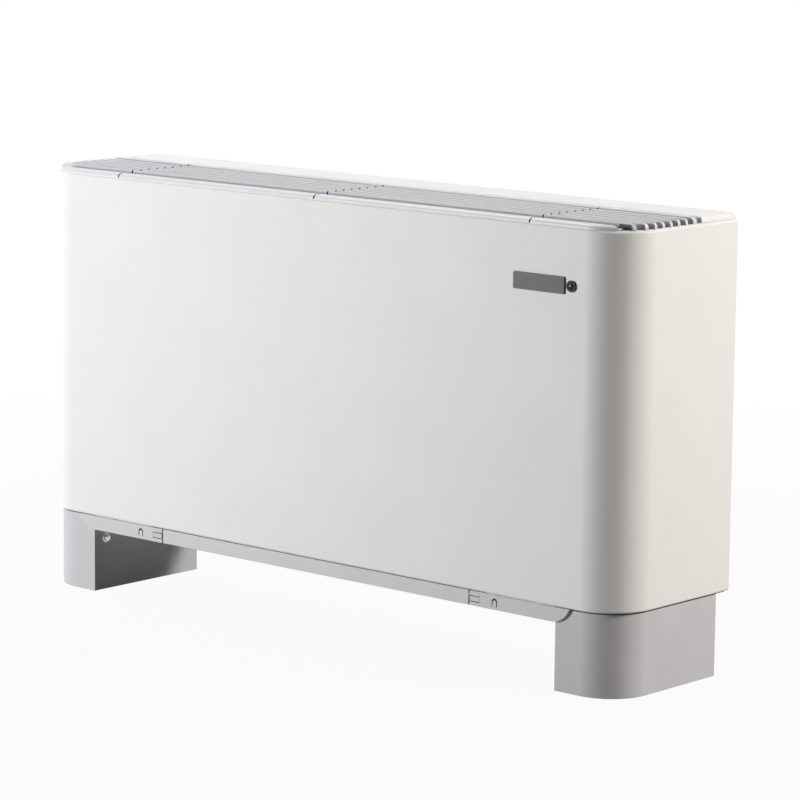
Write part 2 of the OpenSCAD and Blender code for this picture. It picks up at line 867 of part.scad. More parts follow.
module motor_stator() {
  color("dimgray") translate([-stator_half, fan_y, fan_z]) rotate([0, 90, 0]) difference() {
    cylinder(h = 2 * stator_half, r = motor_r);
    translate([0, 0, -1]) cylinder(h = 2 * stator_half + 2, r = 26);
  }
}

module motor_shield(left) {
  flip(left) translate([stator_half, fan_y, fan_z]) rotate([90, 0, 90]) difference() {
    rotate_extrude() {
      translate([shaft_r + 1, 0]) square([motor_r - shaft_r - 1, 4]);
      translate([shaft_r + 1, 3]) square([boss_r + 14 - shaft_r - 1, 5]);
      translate([shaft_r + 1, 7]) square([boss_r - shaft_r - 1, boss_l]);
    }
    translate([0, 0, 12]) cylinder(h = 20, r = 14);
    for (k = [0 : 7]) rotate(k * 45) translate([38, 0, -1]) cylinder(h = 10, r = 4);
  }
}

module motor_shield_left() {
  color("gray") motor_shield(true);
}

module motor_shield_right() {
  color("gray") motor_shield(false);
}

module motor_bearings() {
  color("silver") for (left = [false, true]) flip(left)
    translate([stator_half + 12, fan_y, fan_z]) rotate([0, 90, 0]) difference() {
      cylinder(h = 8, r = 14);
      translate([0, 0, -1]) cylinder(h = 10, r = shaft_r + 0.03);
    }
}

module motor_mount_rings() {
  color("black") for (left = [false, true]) flip(left)
    translate([stator_half + 10, fan_y, fan_z]) rotate([0, 90, 0]) difference() {
      cylinder(h = 10, r = mount_r);
      translate([0, 0, -1]) cylinder(h = 12, r = boss_r);
    }
}

module motor_bracket() {
  color("silver") difference() {
    union() {
      block([-stator_half - 26, fan_y - 26, deck_z - 2], [stator_half + 26, fan_y + 26, deck_z]);
      for (left = [false, true]) flip(left) {
        block([stator_half + 14, fan_y - 26, fan_z], [stator_half + 16, fan_y + 26, deck_z - 1]);
        rod_x(stator_half + 14, stator_half + 16, fan_y, fan_z, 26);
      }
    }
    rod_x(-half_w, half_w, fan_y, fan_z, mount_r);
  }
}

// Coil: comb of fins, end plates, tube bends and headers, all on one slope
module on_slope() {
  translate([0, coil_y, coil_z]) rotate([-coil_lean, 0, 0]) children();
}

module coil_fins() {
  web = 2;
  t = coil_t / 2;
  x0 = -fin_count * fin_pitch / 2;
  color("lightgray") on_slope() translate([0, 0, -coil_l / 2]) linear_extrude(coil_l) union() {
    translate([-fin_half, -web]) square([2 * fin_half, 2 * web]);
    for (k = [0 : fin_count]) translate([min(x0 + k * fin_pitch, fin_half - 1), -t]) square([1, 2 * t]);
  }
}

module coil_end_plate(left) {
  u = coil_l / 2 + 4;
  n = coil_t / 2 + 2;
  flip(left) on_slope() {
    block([fin_half, -n, -u], [fin_half + plate_t, n, u]);
    block([fin_half, -n, -u], [duct_x, -n + plate_t, u]);
    block([fin_half, n - plate_t, -u], [duct_x, n, u]);
  }
}

module coil_end_plate_left() {
  color("silver") coil_end_plate(true);
}

module coil_end_plate_right() {
  color("silver") coil_end_plate(false);
}

function tube_u(k) = (k - (tube_count - 1) / 2) * tube_gap;

module coil_bends() {
  color("peru") on_slope() for (k = [0 : tube_count - 1])
    translate([fin_half + plate_t, 0, tube_u(k)]) {
      for (s = [-1, 1]) rod_x(0, 4, s * row_n, 0, tube_r);
      translate([4, 0, 0]) rotate([0, 0, -90]) rotate_extrude(angle = 180)
        translate([row_n, 0]) circle(tube_r);
    }
}

// A header with its row of stubs and a tee block
module header(n, u) {
  on_slope() {
    translate([-header_x, n, tube_u(0) - 14])
      cylinder(h = tube_u(tube_count - 1) - tube_u(0) + 28, r = header_r);
    for (k = [0 : tube_count - 1]) rod_x(-header_x, -fin_half - plate_t, n, tube_u(k), tube_r);
    block([-tee_x, n - 11, u - 11], [-header_x + 2, n + 11, u + 11]);
  }
}

// A tap that runs from a tee through the side plate to a water port
module tap(at) {
  rod_x(-port_x + bend_r, -tee_x, at[0], at[1], tap_r);
  translate([-port_x + bend_r, at[0] + bend_r, at[1]]) rotate([0, 0, 180]) rotate_extrude(angle = 90)
    translate([bend_r, 0]) circle(tap_r);
  rod_y(at[0] + bend_r, port_y0, -port_x, at[1], tap_r);
}

module coil_header_in() {
  color("peru") header(row_n, -tap_u);
}

module coil_header_out() {
  color("peru") header(-row_n, tap_u);
}

module coil_tap_in() {
  color("peru") tap(tap_in);
}

module coil_tap_out() {
  color("peru") tap(tap_out);
}

module water_port(at) {
  difference() {
    translate([-port_x, port_y1, at[1]]) rotate([90, 0, 0])
      cylinder(h = port_y1 - port_y0, r = port_r + 7, $fn = 6);
    rod_y(port_y1 - 18, port_y1 + 1, -port_x, at[1], port_r);
    rod_y(port_y0 + 3, port_y1, -port_x, at[1], tap_r - 2);
  }
}

module water_port_in() {
  color("goldenrod") water_port(tap_in);
}

module water_port_out() {
  color("goldenrod") water_port(tap_out);
}

// Bleed valve on top of the outlet tap
module air_vent() {
  color("goldenrod") translate([-seam_x - 26, tap_out[0], tap_out[1] + tap_r - 0.6]) difference() {
    union() {
      cylinder(h = 12, r = 5);
      translate([0, 0, 12]) cylinder(h = 8, r = 7, $fn = 6);
    }
    translate([0, 0, 16]) cylinder(h = 6, r = 2);
    rotate([0, 90, 0]) translate([tap_r - 0.6, 0, -20]) cylinder(h = 40, r = tap_r);
  }
}

// Drip tray with its drain spout
module drip_tray() {
  color("dimgray") difference() {
    union() {
      block([-duct_x + 4, tray_y0, tray_z], [duct_x - 4, tray_y1, tray_z + tray_h]);
      rod_x(-spout_x, -duct_x + 5, spout_y, spout_z, spout_r);
      rod_x(-duct_x - 4, -duct_x + 5, spout_y, spout_z, spout_r + 1);
    }
    block([-duct_x + 6, tray_y0 + 2, tray_z + 2], [duct_x - 6, tray_y1 - 2, tray_z + tray_h + 14]);
    block([-half_w, tray_y0 + 12, tray_z + tray_end_h], [half_w, tray_y1 + 10, tray_z + tray_h + 14]);
    block([-half_w, tray_y1 - 21, tray_z + tray_low_h], [half_w, tray_y1 + 10, tray_z + tray_h + 14]);
    rod_x(-spout_x - 1, -duct_x + 8, spout_y, spout_z, spout_r - 2);
  }
}

// Electrical box in the right service bay
module control_box() {
  color("whitesmoke") difference() {
    block([box_x, -box_y, box_z0], [box_x + box_d, box_y, box_z1]);
    block([box_x + 2.5, -box_y + 2.5, box_z0 + 2.5], [box_x + box_d + 1, box_y - 2.5, box_z1 - 2.5]);
    translate([box_x + box_d / 2, 0, box_z0 - 1]) cylinder(h = 5, r = 9);
  }
  color("whitesmoke") for (q = box_posts) difference() {
    rod_x(box_x + 1, box_x1, q[0], q[1], 5);
    rod_x(box_x1 - 14, box_x1 + 1, q[0], q[1], 2);
  }
}

module control_cover() {
  color("whitesmoke") difference() {
    block([box_x + box_d, -box_y - 2, box_z0 - 2], [box_x + box_d + 3, box_y + 2, box_z1 + 2]);
    for (q = box_posts) rod_x(box_x1 - 1, box_x1 + 5, q[0], q[1], 2.1);
  }
}

module control_screws() {
  color("silver") for (q = box_posts) {
    rod_x(box_x1 + 3, box_x1 + 5, q[0], q[1], 3.6);
    rod_x(box_x1 - 10, box_x1 + 4, q[0], q[1], 1.9);
  }
}

module terminal_block() {
  color("ivory") difference() {
    block([box_x + 2.5, -36, box_z0 + 70], [box_x + 24, 36, box_z0 + 92]);
    for (k = [0 : 7]) rod_x(box_x + 16, box_x + 30, -31.5 + k * 9, box_z0 + 81, 2.6);
  }
}

module cable_gland() {
  color("black") translate([box_x + box_d / 2, 0, box_z0]) difference() {
    union() {
      translate([0, 0, -14]) cylinder(h = 14, r = 11, $fn = 6);
      translate([0, 0, -1]) cylinder(h = 8, r = 8.9);
    }
    translate([0, 0, -15]) cylinder(h = 30, r = 5);
  }
}

casing();
casing_end_left();
casing_end_right();
back_panel();
rear_plate_left();
rear_plate_right();
side_plate_left();
side_plate_right();
fan_deck();
base_panel_left();
base_panel_right();
foot_left();
foot_right();
foot_screws();
casing_screws();
trim_left();
trim_right();
release_tongue_left();
release_tongue_right();
filter_frame();
filter_mesh();
head_frame();
outlet_grille_left();
outlet_grille_right();
end_lid_left();
end_lid_right();
badge_plate();
receiver_bezel();
receiver_lens();
receiver_housing();
scroll_upper_left();
scroll_lower_left();
scroll_upper_right();
scroll_lower_right();
impeller_left();
impeller_right();
motor_shaft();
motor_stator();
motor_shield_left();
motor_shield_right();
motor_bearings();
motor_mount_rings();
motor_bracket();
coil_fins();
coil_end_plate_left();
coil_end_plate_right();
coil_bends();
coil_header_in();
coil_header_out();
coil_tap_in();
coil_tap_out();
water_port_in();
water_port_out();
air_vent();
drip_tray();
control_box();
control_cover();
control_screws();
terminal_block();
cable_gland();
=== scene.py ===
# %% [markdown]
# # A floor-standing fan coil unit
# This lesson dresses the engineering model of a fan coil unit: a painted steel casing on two moulded feet,
# a slatted outlet along the top, a pull-out filter strip below, and a blower and water coil inside.
# The model comes in as a fixed frame of named parts. We give each part soft edges, smooth shading and a
# finish, add the small pieces that a drawing leaves plain, and light it like a studio picture.

# %% Load the frame
import json
import math
import bpy
from mathutils import Matrix, Vector

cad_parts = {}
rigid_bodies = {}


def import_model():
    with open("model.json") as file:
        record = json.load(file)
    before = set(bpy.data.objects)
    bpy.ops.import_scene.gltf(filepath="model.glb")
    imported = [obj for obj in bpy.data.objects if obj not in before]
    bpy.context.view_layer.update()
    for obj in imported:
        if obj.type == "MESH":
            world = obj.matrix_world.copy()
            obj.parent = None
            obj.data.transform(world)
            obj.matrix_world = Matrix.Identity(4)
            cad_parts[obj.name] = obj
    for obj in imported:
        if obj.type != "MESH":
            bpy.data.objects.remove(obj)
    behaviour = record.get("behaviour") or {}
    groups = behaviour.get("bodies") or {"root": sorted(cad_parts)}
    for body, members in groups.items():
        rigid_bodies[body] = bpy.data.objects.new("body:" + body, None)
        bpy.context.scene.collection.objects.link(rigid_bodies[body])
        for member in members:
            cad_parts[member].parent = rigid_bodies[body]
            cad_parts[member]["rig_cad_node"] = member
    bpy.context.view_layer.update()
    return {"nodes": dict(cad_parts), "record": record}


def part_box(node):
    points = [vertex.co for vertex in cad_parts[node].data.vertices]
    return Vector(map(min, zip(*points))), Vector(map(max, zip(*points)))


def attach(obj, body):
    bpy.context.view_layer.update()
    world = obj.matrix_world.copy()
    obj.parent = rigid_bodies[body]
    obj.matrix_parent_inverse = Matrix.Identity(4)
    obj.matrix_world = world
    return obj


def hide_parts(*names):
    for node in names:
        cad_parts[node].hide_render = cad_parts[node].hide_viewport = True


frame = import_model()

nodes = frame["nodes"]

# %% [markdown]
# ## Camera
# The picture was taken from the front right, a little above the unit, with a long lens. The place and the
# angles below came from fitting a pinhole camera to straight edges of the casing. A camera looks along its
# own -Z, so the three columns of its turn are right, up and backwards.

# %% Camera
camera_place = Vector((3.08184, -3.42848, 1.06049))
camera_yaw, camera_pitch, camera_roll = 0.72352, 0.16401, 0.01103
focal_pixels, picture_pixels, sensor_mm = 3616.98, 800, 36.0
far_clip = 200

ahead = Vector((-math.sin(camera_yaw) * math.cos(camera_pitch),
                math.cos(camera_yaw) * math.cos(camera_pitch), -math.sin(camera_pitch)))
level_right = Vector((math.cos(camera_yaw), math.sin(camera_yaw), 0))
level_up = level_right.cross(ahead)
right = level_right * math.cos(camera_roll) + level_up * math.sin(camera_roll)
up = level_up * math.cos(camera_roll) - level_right * math.sin(camera_roll)

bpy.ops.object.select_all(action="DESELECT")
bpy.ops.object.camera_add(location=camera_place)
camera = bpy.context.active_object
camera.name = "photo_camera"
camera.matrix_world = Matrix.Translation(camera_place) @ Matrix((right, up, -ahead)).transposed().to_4x4()
camera.data.sensor_width = sensor_mm
camera.data.lens = focal_pixels * sensor_mm / picture_pixels
camera.data.clip_end = far_clip
bpy.context.scene.camera = camera
bpy.context.scene.view_settings.view_transform = "Standard"
print("lens in mm:", round(camera.data.lens, 2))

# %% [markdown]
# ## Studio light
# The front is brightest at its left end and fades to the right, the right side is bright again, and the
# rounded corner between them is dark. That tells of two soft lamps: one out in front to the left, and one
# high up to the right that stands a little behind the side. A third one hangs above the left end and lights
# the pale top.
# An area lamp shines along its own -Z, so each is turned to look at the middle of the unit.

# %% Lamps
unit_middle = Vector((0, 0, 0.3))


def soft_lamp(name, place, width, height, watts, tint):
    bpy.ops.object.select_all(action="DESELECT")
    bpy.ops.object.light_add(type="AREA", location=place)
    lamp = bpy.context.active_object
    lamp.name = name
    lamp.data.shape = "RECTANGLE"
    lamp.data.size, lamp.data.size_y = width, height
    lamp.data.energy = watts
    lamp.data.color = tint
    lamp.rotation_mode = "QUATERNION"
    lamp.rotation_quaternion = (unit_middle - Vector(place)).to_track_quat("-Z", "Y")
    print(lamp.name, "watts:", watts)


soft_lamp("left_softbox", (-2.08, -2.76, 0.70), 0.7, 1.4, 106, (0.99, 0.997, 1.0))
soft_lamp("right_softbox", (3.67, 1.72, 2.5), 1.0, 1.0, 195, (1.0, 0.955, 0.915))
soft_lamp("top_softbox", (-1.55, 0.3, 2.8), 1.8, 0.8, 44, (1.0, 1.0, 1.0))

# %% [markdown]
# ## White world
# The background is plain white. The world is white for what the camera sees straight on, in a reflection or
# through something clear, and only a weak fill for everything else, so it doesn't flatten the shading. A
# helper gives 1 for such clear rays and 0 for the others. The floor uses it too.

# %% World
def clear_ray(tree):
    path = tree.nodes.new("ShaderNodeLightPath")
    level = path.outputs["Is Camera Ray"]
    for kind in ("Is Glossy Ray", "Is Transmission Ray"):
        either = tree.nodes.new("ShaderNodeMath")
        either.operation = "MAXIMUM"
        tree.links.new(level, either.inputs[0])
        tree.links.new(path.outputs[kind], either.inputs[1])
        level = either.outputs[0]
    return level


weak_fill, full_white = 0.03, 1.0
world = bpy.data.worlds.new("white_studio")
bpy.context.scene.world = world
world.use_nodes = True
sky = world.node_tree.nodes["Background"]
sky.inputs["Color"].default_value = (1, 1, 1, 1)
fill_level = world.node_tree.nodes.new("ShaderNodeMapRange")
fill_level.inputs["To Min"].default_value = weak_fill
fill_level.inputs["To Max"].default_value = full_white
world.node_tree.links.new(clear_ray(world.node_tree), fill_level.inputs["Value"])
world.node_tree.links.new(fill_level.outputs[0], sky.inputs["Strength"])
print("world:", world.name, "fill light:", weak_fill)

# %% [markdown]
# ## Floor
# The floor is a large plane that takes a shadow. It lies half a millimetre below the feet, so the two never
# fight for the same place.

# %% Floor
floor_size, floor_drop = 60, 0.0005
bpy.ops.object.select_all(action="DESELECT")
bpy.ops.mesh.primitive_plane_add(size=floor_size, location=(0, 0, -floor_drop))
floor = bpy.context.active_object
floor.name = "studio_floor"
print("floor:", floor.name, "size in metres:", floor_size)

# %% [markdown]
# Most of what clear rays see of the floor is a plain white glow, which lifts it to the backdrop. The rest is
# matt and shows the shadow. The glow grows with the distance from the unit, so the far floor runs into the
# white world.

# %% Floor finish
floor_grey = (0.22, 0.22, 0.22, 1)
glow_range = {"From Min": 0.5, "From Max": 2.4, "To Min": 0.955, "To Max": 1.0}
floor_paint = bpy.data.materials.new("floor_white")
floor_paint.use_nodes = True
floor_nodes, floor_wires = floor_paint.node_tree.nodes, floor_paint.node_tree.links
floor_nodes.remove(floor_nodes["Principled BSDF"])
matt = floor_nodes.new("ShaderNodeBsdfDiffuse")
matt.inputs["Color"].default_value = floor_grey
glow = floor_nodes.new("ShaderNodeEmission")
glow.inputs["Color"].default_value = (1, 1, 1, 1)
floor_place = floor_nodes.new("ShaderNodeTexCoord")
from_unit = floor_nodes.new("ShaderNodeVectorMath")
from_unit.operation = "LENGTH"
glow_by_distance = floor_nodes.new("ShaderNodeMapRange")
glow_by_distance.interpolation_type = "SMOOTHSTEP"
for socket, value in glow_range.items():
    glow_by_distance.inputs[socket].default_value = value
glow_share = floor_nodes.new("ShaderNodeMath")
glow_share.operation = "MULTIPLY"
floor_mix = floor_nodes.new("ShaderNodeMixShader")
floor_wires.new(floor_place.outputs["Object"], from_unit.inputs[0])
floor_wires.new(from_unit.outputs["Value"], glow_by_distance.inputs["Value"])
floor_wires.new(clear_ray(floor_paint.node_tree), glow_share.inputs[0])
floor_wires.new(glow_by_distance.outputs[0], glow_share.inputs[1])
floor_wires.new(glow_share.outputs[0], floor_mix.inputs["Fac"])
floor_wires.new(matt.outputs[0], floor_mix.inputs[1])
floor_wires.new(glow.outputs[0], floor_mix.inputs[2])
floor_wires.new(floor_mix.outputs[0], floor_nodes["Material Output"].inputs["Surface"])
floor.data.materials.append(floor_paint)
print("floor finish:", floor_paint.name, "glow near the unit:", glow_range["To Min"])

# %% [markdown]
# ## Patterns for finishes
# Every finish is a Principled shader fed by small patterns that sit on the object's own coordinates, in
# metres. There are two kinds: a cloudy noise, which can be stretched along an axis, and cells. A pattern of
# scale 500 repeats about every two millimetres.

# %% Pattern helpers
def start_finish(name, colour, roughness, metallic=0.0):
    finish = bpy.data.materials.new(name)
    finish.use_nodes = True
    shader = finish.node_tree.nodes["Principled BSDF"]
    shader.inputs["Base Color"].default_value = (*colour, 1)
    shader.inputs["Roughness"].default_value = roughness
    shader.inputs["Metallic"].default_value = metallic
    return finish, shader


def coordinates(finish, stretch=(1, 1, 1)):
    place = finish.node_tree.nodes.new("ShaderNodeTexCoord")
    mapping = finish.node_tree.nodes.new("ShaderNodeMapping")
    mapping.inputs["Scale"].default_value = stretch
    finish.node_tree.links.new(place.outputs["Object"], mapping.inputs["Vector"])
    return mapping.outputs["Vector"]


def noise(finish, scale, detail, stretch=(1, 1, 1)):
    pattern = finish.node_tree.nodes.new("ShaderNodeTexNoise")
    pattern.inputs["Scale"].default_value = scale
    pattern.inputs["Detail"].default_value = detail
    finish.node_tree.links.new(coordinates(finish, stretch), pattern.inputs["Vector"])
    return pattern.outputs["Fac"]


def cells(finish, scale, output):
    pattern = finish.node_tree.nodes.new("ShaderNodeTexVoronoi")
    pattern.inputs["Scale"].default_value = scale
    finish.node_tree.links.new(coordinates(finish), pattern.inputs["Vector"])
    return pattern.outputs[output]


print("pattern helpers ready")

# %% [markdown]
# Three blocks take a pattern to the shader: a blotchy mix of two close colours, a roughness that wanders
# between two values, and a bump.

# %% Shader helpers
def blotch(finish, shader, pattern, dark, light, low=0.3, high=0.7):
    ramp = finish.node_tree.nodes.new("ShaderNodeValToRGB")
    ramp.color_ramp.elements[0].position = low
    ramp.color_ramp.elements[1].position = high
    ramp.color_ramp.elements[0].color = (*dark, 1)
    ramp.color_ramp.elements[1].color = (*light, 1)
    finish.node_tree.links.new(pattern, ramp.inputs["Fac"])
    finish.node_tree.links.new(ramp.outputs["Color"], shader.inputs["Base Color"])


def wander(finish, shader, pattern, low, high):
    spread = finish.node_tree.nodes.new("ShaderNodeMapRange")
    spread.inputs["To Min"].default_value = low
    spread.inputs["To Max"].default_value = high
    finish.node_tree.links.new(pattern, spread.inputs["Value"])
    finish.node_tree.links.new(spread.outputs[0], shader.inputs["Roughness"])


def raise_bumps(finish, shader, pattern, strength, depth):
    bump = finish.node_tree.nodes.new("ShaderNodeBump")
    bump.inputs["Strength"].default_value = strength
    bump.inputs["Distance"].default_value = depth
    finish.node_tree.links.new(pattern, bump.inputs["Height"])
    finish.node_tree.links.new(bump.outputs["Normal"], shader.inputs["Normal"])


def shade_of(colour, factor):
    return tuple(min(1.0, v * factor) for v in colour)


finishes = {}
print("shader helpers ready")

# %% [markdown]
# ## Powder coat
# The casing is sprayed with powder and baked. Up close such paint has a faint orange peel, about two
# millimetres from crest to crest, with a satin shine that varies a little. The bump is kept very low, so
# the large front still looks flat.

# %% Casing paint
casing_white = (0.835, 0.83, 0.81)
finish, shader = start_finish("powder_coat", casing_white, 0.46)
shader.inputs["Specular IOR Level"].default_value = 0.18
blotch(finish, shader, noise(finish, 9, 2), shade_of(casing_white, 0.985), shade_of(casing_white, 1.012))
wander(finish, shader, noise(finish, 60, 3), 0.42, 0.52)
raise_bumps(finish, shader, noise(finish, 520, 2), 0.06, 0.0004)
finishes["casing_paint"] = finish
print("finish:", finish.name)

# %% [markdown]
# ## Moulded plastics
# The head, grilles, feet and trims are moulded. A mould is spark-eroded, which leaves a fine pitted grain
# on the plastic, well under a millimetre. One function makes them all: two close shades in broad
# blotches, a wandering satin roughness, and the grain as a bump.

# %% Plastics
def moulded(name, colour, roughness, grain_scale=1400, grain=0.10, spread=0.03, gloss=0.32):
    finish, shader = start_finish(name, colour, roughness)
    shader.inputs["Specular IOR Level"].default_value = gloss
    blotch(finish, shader, noise(finish, 14, 4), shade_of(colour, 1 - spread), shade_of(colour, 1 + spread))
    wander(finish, shader, noise(finish, 45, 3), roughness - 0.05, roughness + 0.06)
    raise_bumps(finish, shader, cells(finish, grain_scale, "Distance"), grain, 0.0003)
    return finish


finishes["head_white"] = moulded("moulded_white", (0.82, 0.82, 0.825), 0.46)
finishes["grille_grey"] = moulded("moulded_pale_grey", (0.675, 0.68, 0.705), 0.36)
finishes["foot_grey"] = moulded("moulded_foot_grey", (0.575, 0.575, 0.59), 0.5, 1100, 0.14, gloss=0.2)
finishes["trim_grey"] = moulded("moulded_trim_grey", (0.60, 0.605, 0.61), 0.48)
finishes["filter_grey"] = moulded("moulded_strip_grey", (0.63, 0.625, 0.635), 0.5)
finishes["tray_grey"] = moulded("moulded_tray_grey", (0.16, 0.16, 0.17), 0.6, 700, 0.2, 0.08)
finishes["box_grey"] = moulded("moulded_box_grey", (0.66, 0.66, 0.65), 0.5)
finishes["terminal_ivory"] = moulded("moulded_ivory", (0.74, 0.70, 0.58), 0.4)
finishes["blower_black"] = moulded("moulded_black", (0.035, 0.035, 0.04), 0.55, 900, 0.18, 0.12)
finishes["wheel_grey"] = moulded("moulded_wheel_grey", (0.20, 0.205, 0.22), 0.5, 1100, 0.12, 0.06)
finishes["badge_grey"] = moulded("satin_badge", (0.128, 0.128, 0.123), 0.42, 1800, 0.06, 0.04, gloss=0.15)
print("finishes so far:", len(finishes))

# %% [markdown]
# ## Sheet metal and bright metal
# Galvanised sheet shows spangles: flat zinc crystals about two centimetres across, each with its own shade.
# Voronoi cells give them, with a fine rolling grain on top. The steel of the motor, aluminium, copper, brass
# and zinc-plated screws share a second function: a metal with a tint that wanders and fine drawn streaks.

# %% Metals
def galvanised_sheet(name, dark, light):
    finish, shader = start_finish(name, light, 0.42, 1.0)
    tree = finish.node_tree
    grey = tree.nodes.new("ShaderNodeSeparateColor")
    tree.links.new(cells(finish, 55, "Color"), grey.inputs["Color"])
    blotch(finish, shader, grey.outputs["Red"], dark, light, 0.0, 1.0)
    wander(finish, shader, grey.outputs["Green"], 0.34, 0.52)
    raise_bumps(finish, shader, noise(finish, 380, 3, (1, 1, 0.15)), 0.05, 0.0003)
    return finish


def drawn_metal(name, colour, roughness, scale=220, stretch=(0.08, 1, 1), spread=0.08):
    finish, shader = start_finish(name, colour, roughness, 1.0)
    blotch(finish, shader, noise(finish, 30, 4), shade_of(colour, 1 - spread), shade_of(colour, 1 + spread))
    wander(finish, shader, noise(finish, scale, 3, stretch), roughness - 0.07, roughness + 0.1)
    raise_bumps(finish, shader, noise(finish, 2 * scale, 2, stretch), 0.05, 0.0002)
    return finish


finishes["galvanised"] = galvanised_sheet("galvanised_sheet", (0.50, 0.51, 0.52), (0.62, 0.63, 0.64))
finishes["motor_metal"] = drawn_metal("motor_steel", (0.40, 0.41, 0.42), 0.45)
finishes["fin_aluminium"] = drawn_metal("rolled_aluminium", (0.78, 0.79, 0.80), 0.36, 260, (1, 1, 0.06))
finishes["copper"] = drawn_metal("drawn_copper", (0.76, 0.40, 0.25), 0.34, spread=0.14)
finishes["brass"] = drawn_metal("turned_brass", (0.78, 0.60, 0.28), 0.32, 300, (1, 0.1, 1))
finishes["screw_steel"] = drawn_metal("zinc_plate", (0.66, 0.66, 0.67), 0.32, 400, (1, 1, 1))
print("finishes so far:", len(finishes))

# %% [markdown]
# ## Rubber, net and receiver
# Rubber is nearly black and dull with a coarse skin. The filter net is a knitted thread, so its finish has
# a fine twist along each thread. The receiver is a black ring round a smoked window. Both are very dark and
# reflect little, so they stay black in the bright studio.

# %% Dark finishes
finishes["rubber_black"] = moulded("soft_rubber", (0.028, 0.028, 0.028), 0.72, 600, 0.25, 0.1)

thread, shader = start_finish("knitted_thread", (0.03, 0.03, 0.033), 0.8)
shader.inputs["Sheen Weight"].default_value = 0.2
blotch(thread, shader, noise(thread, 900, 2, (1, 1, 0.3)), (0.02, 0.02, 0.022), (0.055, 0.055, 0.06))
raise_bumps(thread, shader, noise(thread, 2500, 2), 0.3, 0.0002)
finishes["filter_net"] = thread

ring, shader = start_finish("gloss_black", (0.008, 0.008, 0.009), 0.25)
shader.inputs["Specular IOR Level"].default_value = 0.16
blotch(ring, shader, noise(ring, 300, 2), (0.006, 0.006, 0.007), (0.010, 0.010, 0.011))
wander(ring, shader, noise(ring, 500, 2), 0.20, 0.32)
finishes["receiver_black"] = ring

window, shader = start_finish("smoked_window", (0.007, 0.006, 0.006), 0.28)
shader.inputs["Specular IOR Level"].default_value = 0.2
shader.inputs["Coat Weight"].default_value = 0.08
shader.inputs["Coat Roughness"].default_value = 0.2
blotch(window, shader, noise(window, 500, 2), (0.005, 0.004, 0.004), (0.010, 0.008, 0.008))
wander(window, shader, noise(window, 350, 2), 0.24, 0.34)
finishes["receiver_lens"] = window
print("finishes in all:", len(finishes))

# %% [markdown]
# ## Selecting and settling
# Blender's tools work on what is selected. Three helpers do that for us: one selects a single piece, one
# selects faces by a test, and one writes the place and turn of a piece into its mesh, so that a finished
# piece stands at the origin in the frame of the whole unit.

# %% Selection helpers
def only(piece):
    bpy.ops.object.select_all(action="DESELECT")
    piece.select_set(True)
    bpy.context.view_layer.objects.active = piece


def pick_faces(piece, test):
    bpy.ops.object.mode_set(mode="EDIT")
    bpy.ops.mesh.select_mode(type="FACE")
    bpy.ops.mesh.select_all(action="DESELECT")
    bpy.ops.object.mode_set(mode="OBJECT")
    for face in piece.data.polygons:
        face.select = test(face)
    bpy.ops.object.mode_set(mode="EDIT")


def settle(piece):
    only(piece)
    bpy.ops.object.transform_apply(location=True, rotation=True, scale=True)


print("selection helpers ready")

# %% [markdown]
# ## From drawing to moulding
# A part from the drawing has razor-sharp edges and faceted curves. Real sheet and plastic catch the light
# along a small round. So each part is copied, and the copy is finished. First we merge the loose triangles
# of the copy and dissolve the ones that lie flat. The drawn part itself is kept for the physics.

# %% Copy and merge
flat_degrees, merge_distance = 0.4, 2e-6


def copy_of(name):
    only(nodes[name])
    bpy.ops.object.duplicate()
    piece = bpy.context.active_object
    piece.name = name + "_finished"
    piece.parent = None
    del piece["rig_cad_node"]
    return piece


def merge(piece):
    only(piece)
    bpy.ops.object.mode_set(mode="EDIT")
    bpy.ops.mesh.select_all(action="SELECT")
    bpy.ops.mesh.remove_doubles(threshold=merge_distance)
    bpy.ops.mesh.dissolve_limited(angle_limit=math.radians(flat_degrees))
    bpy.ops.object.mode_set(mode="OBJECT")


print("corners closer than", merge_distance, "m become one")

# %% [markdown]
# A Bevel modifier rounds the sharp edges. A Weighted Normal modifier then lets large faces decide the
# shading direction, so flats stay flat and curves look smooth.

# %% Edges and shading
sharp_degrees = 32


def round_edges(piece, width):
    only(piece)
    bevel = piece.modifiers.new("soft_edges", "BEVEL")
    bevel.width = width
    bevel.segments = 2
    bevel.limit_method = "ANGLE"
    bevel.angle_limit = math.radians(sharp_degrees)
    bevel.use_clamp_overlap = True
    bpy.ops.object.modifier_apply(modifier=bevel.name)


def smooth(piece, angle_degrees=sharp_degrees):
    only(piece)
    bpy.ops.object.shade_smooth_by_angle(angle=math.radians(angle_degrees))
    weigh = piece.modifiers.new("flats_lead", "WEIGHTED_NORMAL")
    weigh.keep_sharp = True
    weigh.weight = 100
    bpy.ops.object.modifier_apply(modifier=weigh.name)


print("edges sharper than", sharp_degrees, "degrees are rounded")

# %% [markdown]
# The record of the frame says which finish a part has and which moving body it belongs to. The last helper
# puts the steps together: copy, merge, reshape where needed, round, smooth and paint. It then hides the
# drawn part behind its finished copy.

# %% Refine
slot_of = {s["node"]: s["material_slot"] for s in frame["record"]["subparts"]}
body_of = {n: b for b, members in frame["record"]["behaviour"]["bodies"].items() for n in members}


def paint(piece, slot):
    piece.data.materials.clear()
    piece.data.materials.append(finishes[slot])


def refine(name, edge, reshape=None):
    piece = copy_of(name)
    merge(piece)
    if reshape:
        reshape(piece)
    if edge:
        round_edges(piece, edge)
    smooth(piece)
    paint(piece, slot_of[name])
    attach(piece, body_of[name])
    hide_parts(name)
    return piece


print("bodies:", sorted(set(body_of.values())))

# %% [markdown]
# ## One skin for the casing
# The front, the rounded corners and the sides are one sheet, folded round. The drawing keeps it in three
# parts that meet flush on the front. We join copies of the three, take out the two pairs of faces where
# they touch, and merge the rims, so the paint runs round the corner without a line.

